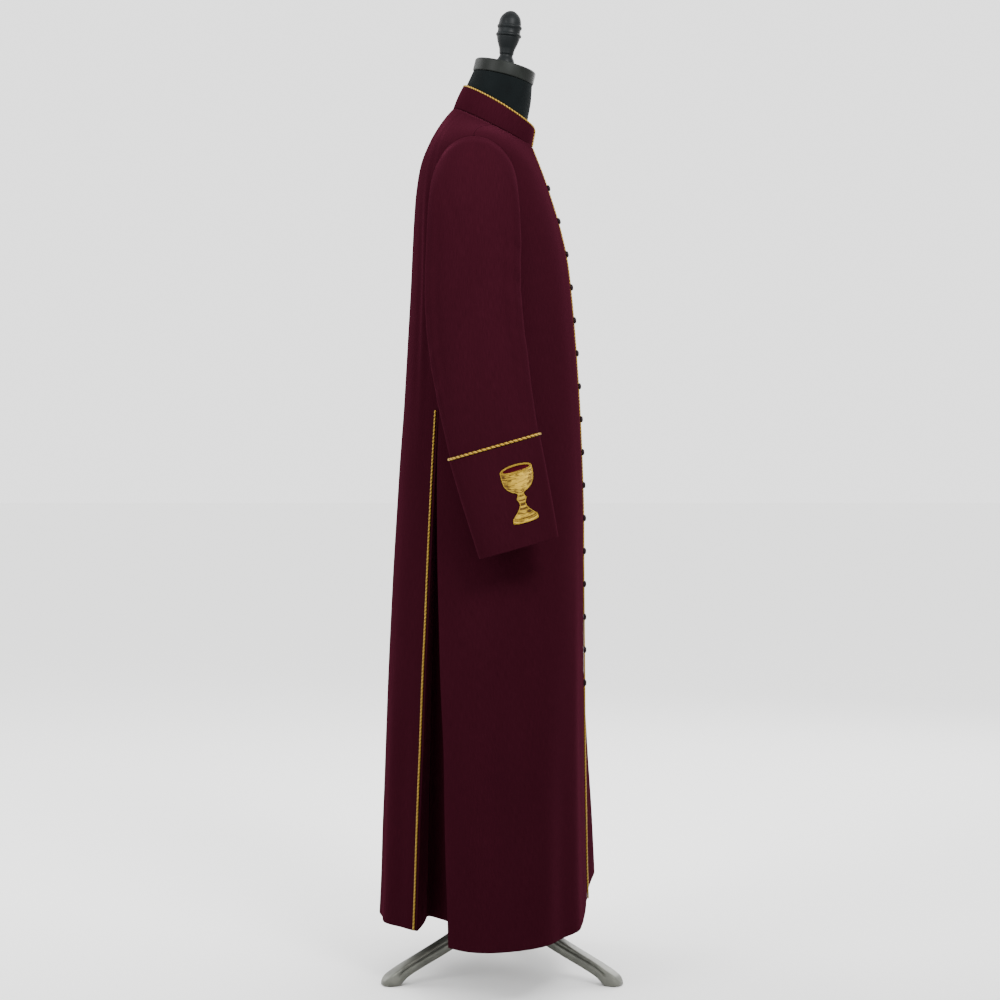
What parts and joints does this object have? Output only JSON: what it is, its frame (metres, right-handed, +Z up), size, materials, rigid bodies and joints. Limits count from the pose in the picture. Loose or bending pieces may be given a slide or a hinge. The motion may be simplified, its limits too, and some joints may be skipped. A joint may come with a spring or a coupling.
{
  "type": "cassock on dress form stand",
  "caption": "Full-length cassock with stand collar, deep cuffs, side-back pleats and corded edges, worn by a limbless dress form on a three-legged stand.",
  "frame": {"origin": "on the floor, under the middle of the whole object", "axes": "+Z up, -Y to the front of the garment, -X to the wearer's right"},
  "size_m": [0.6286, 0.4126, 1.6515],
  "materials": {
    "cloth": "matte wine-red worsted",
    "piping": "satin gold cord",
    "buttons": "dark covered buttons",
    "form_jersey": "black jersey stretched over the form",
    "form_cap": "black semi-gloss",
    "steel": "satin grey"
  },
  "bodies": {
    "root": {"front_right": "cloth", "front_left": "cloth", "back": "cloth", "collar": "cloth", "sleeve_right": "cloth", "cuff_right": "cloth", "pleat_right": "cloth", "sleeve_left": "cloth", "cuff_left": "cloth", "pleat_left": "cloth", "piping_collar": "piping", "piping_front": "piping", "piping_cuff_right": "piping", "piping_pleat_right": "piping", "piping_cuff_left": "piping", "piping_pleat_left": "piping", "button_01": "buttons", "button_02": "buttons", "button_03": "buttons", "button_04": "buttons", "button_05": "buttons", "button_06": "buttons", "button_07": "buttons", "button_08": "buttons", "button_09": "buttons", "button_10": "buttons", "button_11": "buttons", "button_12": "buttons", "button_13": "buttons", "button_14": "buttons", "button_15": "buttons", "button_16": "buttons", "form_torso": "form_jersey", "neck_cap": "form_cap", "finial": "form_cap", "pole": "steel", "stand_hub": "steel", "leg_left": "steel", "leg_back_right": "steel", "leg_front_right": "steel"}
  },
  "joints": []
}
